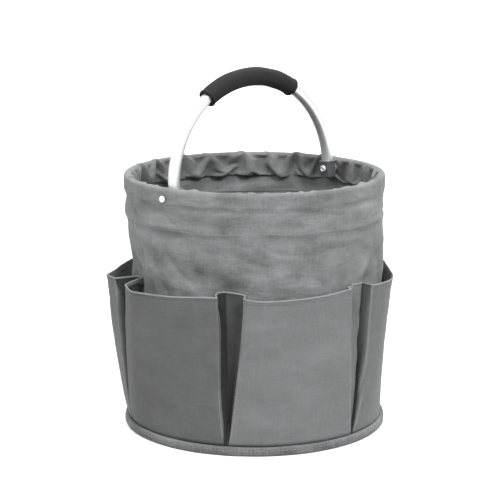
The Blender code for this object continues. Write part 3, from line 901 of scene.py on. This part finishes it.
def sweep(name, centres, radii, sides=48):
    """A tube of varying radius along a line in the XZ plane, open at both ends."""
    centres = np.array([tuple(c) for c in centres])
    tangent = np.gradient(centres, axis=0)
    tangent /= np.linalg.norm(tangent, axis=1, keepdims=True)
    side = np.cross(tangent, (0.0, 1.0, 0.0))
    turn = round_angles(sides)
    ring = np.cos(turn)[None, :, None] * side[:, None, :] \
        + np.sin(turn)[None, :, None] * np.array((0.0, 1.0, 0.0))
    points = centres[:, None, :] + ring * np.asarray(radii).reshape(len(centres), -1, 1)
    return grid_object(name, points, cloth_uv(points, True), closed=True)


def settle(obj):
    """Moves a piece from the handle's own upright axes to where the handle stands."""
    obj.data.transform(LEAN_TURN)
    obj.data.update()


def face_out(obj, weld=False):
    bm = bmesh.new()
    bm.from_mesh(obj.data)
    if weld:
        bmesh.ops.remove_doubles(bm, verts=bm.verts, dist=1e-6)
    bmesh.ops.recalc_face_normals(bm, faces=bm.faces)
    bm.to_mesh(obj.data)
    bm.free()


def make_sleeve(name, centres, radii, wall, material, slot, node):
    """A swept hollow piece of the handle."""
    sleeve = sweep(name, centres, radii)
    face_out(sleeve)
    settle(sleeve)
    thicken(sleeve, wall)
    dress(sleeve, material, "handle", slot, node)
    return sleeve


def make_tube():
    feet = np.linspace(TUBE_FOOT, ARCH_SPRING, 5)[:-1]
    centres = [Vector((-leg_x, 0.0, z)) for z in feet]
    centres += [arch_point(t) for t in np.linspace(0.0, math.pi, 97)]
    centres += [Vector((leg_x, 0.0, z)) for z in feet[::-1]]
    make_sleeve("handle_tube_satin", centres, [TUBE_OUT] * len(centres), TUBE_WALL, tube_metal,
                "tube_metal", "handle_tube")


def make_grip():
    """Foam sleeve: rounded lips at the ends, a little fuller in the middle, softly uneven."""
    start = math.acos(GRIP_REACH)
    turns = np.linspace(start, math.pi - start, 121)
    along = np.linspace(0.0, 1.0, len(turns))
    from_end = np.minimum(along, 1.0 - along) * GRIP_LONG
    body = GRIP_OUT + 0.25 * MM * np.sin(math.pi * along)
    lip = 0.45 * MM * bump_at(from_end, 2.2 * MM, 1.6 * MM) \
        - 0.35 * MM * bump_at(from_end, 5.2 * MM, 1.6 * MM)
    edge = 1.9 * MM
    short = 1.0 - np.clip(from_end / edge, 0.0, 1.0)
    rounding = edge * (1.0 - np.sqrt(np.clip(1.0 - short ** 2, 0.0, 1.0)))
    sides = round_angles(48)
    uneven = 0.16 * MM * ring_noise(sides[None, :], along[:, None] * 0.15, 71, (1, 4),
                                    (0.02, 0.07), 12)
    radii = (body + lip - rounding)[:, None] + uneven
    grip = make_sleeve("handle_grip_foam", [arch_point(t) for t in turns], radii, GRIP_FOAM,
                       grip_foam, "grip_foam", "handle_grip")


def rounded_block(name, size, corner, edge, height):
    """A block with its middle at a height, its upright edges and its level ones rounded."""
    bm = bmesh.new()
    bmesh.ops.create_cube(bm, size=1.0)
    bmesh.ops.scale(bm, vec=size, verts=bm.verts)
    bmesh.ops.translate(bm, vec=(0.0, 0.0, height), verts=bm.verts)
    upright = [e for e in bm.edges if abs(e.verts[0].co.z - e.verts[1].co.z) > size[2] / 2.0]
    bmesh.ops.bevel(bm, geom=upright, offset=corner, segments=6, profile=0.5, affect="EDGES")
    level = [e for e in bm.edges if abs(e.verts[0].co.z - e.verts[1].co.z) < 1e-6]
    bmesh.ops.bevel(bm, geom=level, offset=edge, segments=3, profile=0.5, affect="EDGES")
    return from_bmesh(name, bm)


def pin(radius, length, place):
    bm = bmesh.new()
    bmesh.ops.create_cone(bm, cap_ends=True, segments=64, radius1=radius, radius2=radius,
                          depth=length)
    tool = from_bmesh("pin", bm)
    tool.data.transform(place)
    return tool


def boolean(piece, tool, operation):
    """Applies a boolean at once and removes the tool."""
    modifier = piece.modifiers.new("boolean", "BOOLEAN")
    modifier.operation = operation
    modifier.solver = "EXACT"
    modifier.object = tool
    graph = bpy.context.evaluated_depsgraph_get()
    mesh = bpy.data.meshes.new_from_object(piece.evaluated_get(graph))
    piece.modifiers.remove(modifier)
    piece.data = mesh
    bpy.data.objects.remove(tool, do_unlink=True)


def make_socket(side_name, side):
    """A rounded square sleeve with a collar round its mouth and a closed foot."""
    tall = SOCKET_ABOVE + SOCKET_BELOW
    wide = 2.0 * SOCKET_HALF
    socket = rounded_block(f"handle_socket_{side_name}_moulded",
                           (wide - 0.8 * MM, wide - 0.8 * MM, tall), 2.3 * MM, 0.5 * MM,
                           (SOCKET_ABOVE - SOCKET_BELOW) / 2.0)
    collar = rounded_block("collar", (wide + 0.2 * MM, wide + 0.2 * MM, 2.4 * MM), 2.6 * MM,
                           0.6 * MM, SOCKET_ABOVE - 1.2 * MM)
    boolean(socket, collar, "UNION")
    bore = pin(6.6 * MM, 2.0 * (SOCKET_ABOVE + 8.0 * MM),
               Matrix.Translation((0.0, 0.0, SOCKET_ABOVE)))
    boolean(socket, bore, "DIFFERENCE")
    drill = pin(2.25 * MM, 40.0 * MM, Matrix.Rotation(math.pi / 2.0, 4, "Y"))
    boolean(socket, drill, "DIFFERENCE")
    socket.data.transform(Matrix.Translation((side * leg_x, 0.0, 0.0)))
    socket.data.shade_smooth()
    socket.data.set_sharp_from_angle(angle=math.radians(35))
    settle(socket)
    dress(socket, socket_plastic, "handle", "socket_plastic", "handle_socket_" + side_name)


def turned(name, outline, steps=48):
    """Turns (radius, distance) points about Z; the outline starts and ends on the axis."""
    angle = round_angles(steps)
    points = np.array([polar(r, angle, z) for r, z in outline])
    piece = grid_object(name, points, cloth_uv(points, True), closed=True)
    face_out(piece, weld=True)
    piece.data.shade_smooth()
    piece.data.set_sharp_from_angle(angle=math.radians(40))
    return piece


# Radius in mm, and mm in from that end of the rivet: its domed head, and the rolled rim of its
# hollow set end with the hole down its middle
RIVET_HEAD = ((0.0, 0.55), (0.7, 0.5), (1.1, 0.1), (1.6, 0.0), (2.4, 0.12), (3.1, 0.5), (3.6, 1.1),
              (3.75, 1.5), (3.7, 1.8), (2.0, 1.8))
RIVET_END = ((2.0, 2.1), (3.55, 2.1), (3.75, 1.8), (3.7, 1.2), (3.3, 0.5), (2.8, 0.05), (2.3, 0.0),
             (1.85, 0.25), (1.6, 0.9), (1.5, 6.0), (0.0, 6.0))


def make_rivet(side_name, side):
    node = "pivot_rivet_" + side_name
    low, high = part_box(node)
    length = high.x - low.x
    rivet = turned(f"{node}_bright", [(r * MM, length - back * MM) for r, back in RIVET_HEAD]
                   + [(r * MM, back * MM) for r, back in RIVET_END])
    inner = min(abs(low.x), abs(high.x))
    rivet.data.transform(Matrix.Translation((side * inner, 0.0, pivot_z))
                         @ Matrix.Rotation(side * math.pi / 2.0, 4, "Y"))
    dress(rivet, rivet_metal, "bag", "rivet_metal", node)


# ---- stitching ----
def stitch_shape():
    """A plump little bead along X, of unit radius: its points and its faces."""
    turn, tilt = round_angles(6), np.radians((45.0, 90.0, 135.0))[:, None]
    rings = np.stack(np.broadcast_arrays(np.cos(tilt), np.sin(tilt) * np.cos(turn),
                                         np.sin(tilt) * np.sin(turn)), axis=-1)
    verts = np.concatenate([rings.reshape(-1, 3), [(1.0, 0.0, 0.0), (-1.0, 0.0, 0.0)]])
    front, back = len(verts) - 2, len(verts) - 1
    faces = []
    for j in range(6):
        k = (j + 1) % 6
        faces += [(front, j, k), (j, 6 + j, 6 + k, k), (6 + j, 12 + j, 12 + k, 6 + k),
                  (12 + j, back, 12 + k)]
    return verts, faces


STITCH_VERTS, STITCH_FACES = stitch_shape()


def stitch_row(name, path, normal, pitch=3.6 * MM, length=2.9 * MM, thick=0.30 * MM, sink=0.45):
    """Lockstitches along a path that lies on the cloth, as one piece."""
    path, normal = np.asarray(path), np.asarray(normal)
    along = lengths_along(path)
    count = max(2, int(along[-1] / pitch))
    at = (np.arange(count) + 0.5) * along[-1] / count

    def sample(values, places):
        return np.stack([np.interp(places, along, values[:, k]) for k in range(3)], axis=1)

    centre = sample(path, at)
    ahead = sample(path, np.minimum(at + length / 2.0, along[-1])) \
        - sample(path, np.maximum(at - length / 2.0, 0.0))
    ahead /= np.linalg.norm(ahead, axis=1, keepdims=True)
    up = sample(normal, at)
    up -= ahead * (up * ahead).sum(axis=1, keepdims=True)
    up /= np.linalg.norm(up, axis=1, keepdims=True)
    side = np.cross(up, ahead)
    local = STITCH_VERTS * np.array((length / 2.0, thick, thick))
    verts = (centre + up * thick * sink)[:, None, :] + local[None, :, 0:1] * ahead[:, None, :] \
        + local[None, :, 1:2] * side[:, None, :] + local[None, :, 2:3] * up[:, None, :]
    faces = [[len(STITCH_VERTS) * k + v for v in face]
             for k in range(count) for face in STITCH_FACES]
    mesh = bpy.data.meshes.new(name)
    mesh.from_pydata(verts.reshape(-1, 3).tolist(), [], faces)
    mesh.shade_smooth()
    row = new_object(name, mesh)
    paint(row, sewing_thread)
    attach(row, "bag")


def make_stitches(pocket_grids):
    angle = np.linspace(0.0, TURN, 721)
    height = LOW_STITCH + 1.8 * MM + seam_wander(angle)
    stitch_row("stitches_rim_low", polar(outer_face(angle, height) - 0.15 * MM, angle, height),
               polar(1.0, angle, 0.0))
    for number, points in pocket_grids.items():
        line = points[-1] + down_from_top(points) * STITCH_DROP
        out = grid_normals(points)[-1]
        stitch_row(f"stitches_pocket_{number}_hem", line[6:-6] - 0.3 * MM * out[6:-6], out[6:-6],
                   pitch=3.2 * MM, length=2.5 * MM, thick=0.26 * MM)
    stitch_row("stitches_binding", polar(binding_out, angle, binding_top * 0.62),
               polar(1.0, angle, 0.0), pitch=4.2 * MM, length=3.2 * MM, thick=0.34 * MM, sink=0.1)


# ---- floor, light, camera ----
FLOOR_BOUNCE = 0.38  # share of the floor's light that reaches the object
FLOOR_GLOW = 0.30  # light of its own that only the camera sees
MIRRORED_FLOOR = 0.75  # share of the floor that shines in metal
MIRRORED_LIGHT = 0.80  # share of the white studio that shines in metal
HORIZON_LIGHT = 0.16  # the studio's light on the object, from the side
OVERHEAD_LIGHT = 0.60  # and from above


def seen_or_mirrored(n, share):
    """1 where the camera looks, and a share of it in mirrored rays."""
    path = n.add("ShaderNodeLightPath").outputs
    seen = path["Is Camera Ray"]
    return seen, n.math("MAXIMUM", seen, n.math("MULTIPLY", path["Is Glossy Ray"], share))


def make_floor():
    bpy.ops.mesh.primitive_plane_add(size=14.0, location=(0.0, 0.0, -0.4 * MM))
    floor = bpy.context.object
    floor.name = "floor"
    n, place = new_material("pale_floor")
    seen, bright = seen_or_mirrored(n, MIRRORED_FLOOR)
    tone = n.math("MULTIPLY", n.ramp(n.noise(place, 1.5, 2.0), 0.93, 0.95),
                  n.ramp(bright, FLOOR_BOUNCE, 1.0))
    n.set(Base_Color=n.grey(tone), Roughness=0.9, Emission_Color=(1.0, 1.0, 1.0, 1.0),
          Emission_Strength=n.math("MULTIPLY", seen, FLOOR_GLOW))
    paint(floor, n.owner)


CAMERA_AZIMUTH = math.radians(-47.97)
CAMERA_DISTANCE = 2.0139
CAMERA_HEIGHT = 0.6142
CAMERA_PITCH = math.radians(11.91)


def make_camera():
    camera = bpy.data.cameras.new("camera")
    camera.sensor_width = 36.0
    camera.lens = 135.87
    camera.shift_x = -0.0090
    view = new_object("camera", camera)
    view.location = (CAMERA_DISTANCE * math.sin(CAMERA_AZIMUTH),
                     -CAMERA_DISTANCE * math.cos(CAMERA_AZIMUTH), CAMERA_HEIGHT)
    view.rotation_euler = (math.pi / 2.0 - CAMERA_PITCH, 0.0, CAMERA_AZIMUTH)
    scene.camera = view


def make_world():
    """White studio all round; what the camera sees is brighter than what it lights with."""
    n = Nodes(bpy.data.worlds.new("studio"), "Background")
    direction = n.add("ShaderNodeTexCoord").outputs["Generated"]
    up = n.add("ShaderNodeSeparateXYZ", {0: direction}).outputs["Z"]
    dome = n.ramp(up, HORIZON_LIGHT, OVERHEAD_LIGHT)
    n.set(Color=(1.0, 1.0, 1.0, 1.0), Strength=n.ramp(seen_or_mirrored(n, MIRRORED_LIGHT)[1],
                                                      dome, 1.0))
    scene.world = n.owner


def add_sun(name, right, up, strength, softness):
    """A soft far light: degrees to the right of the camera, and degrees above the floor."""
    light = bpy.data.lights.new(name, "SUN")
    light.energy = strength
    light.angle = math.radians(softness)
    sun = new_object(name, light)
    turn = CAMERA_AZIMUTH + math.radians(right)
    level = math.cos(math.radians(up))
    towards = Vector((math.sin(turn) * level, -math.cos(turn) * level,
                      math.sin(math.radians(up))))
    sun.rotation_euler = towards.to_track_quat("Z", "Y").to_euler()


def make_light():
    make_world()
    add_sun("key", 31.0, 41.0, 2.30, 20.0)
    add_sun("over", 105.0, 64.0, 0.60, 60.0)
    add_sun("front", -22.0, 50.0, 1.35, 45.0)
    add_sun("fill", -80.0, 35.0, 0.52, 50.0)
    add_sun("back", 165.0, 42.0, 1.10, 50.0)
    scene.view_settings.view_transform = "Standard"


# ---- put it together ----
make_camera()
make_light()
make_floor()
make_wall()
make_rim()
grids = {number: make_pocket(number) for number in POCKET_TOPS}
make_binding()
disc_radius = FOOT_RADIUS - CLOTH - 1.5 * MM
make_disc("base_lining_cloth", disc_radius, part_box("base_lining")[1].z, 1.0, 0.7 * MM, 81,
          "base_lining")
make_disc("base_panel_cloth", disc_radius, 0.2 * MM, -1.0, 0.0, 82, "base_panel")
make_tube()
make_grip()
for side_name, side in (("left", -1.0), ("right", 1.0)):
    make_socket(side_name, side)
    make_rivet(side_name, side)
    paint(frame["nodes"]["pivot_washer_" + side_name], washer_nylon)
make_stitches(grids)
paint(frame["nodes"]["rim_hoop"], hoop_metal)
paint(frame["nodes"]["base_board"], board_plastic)
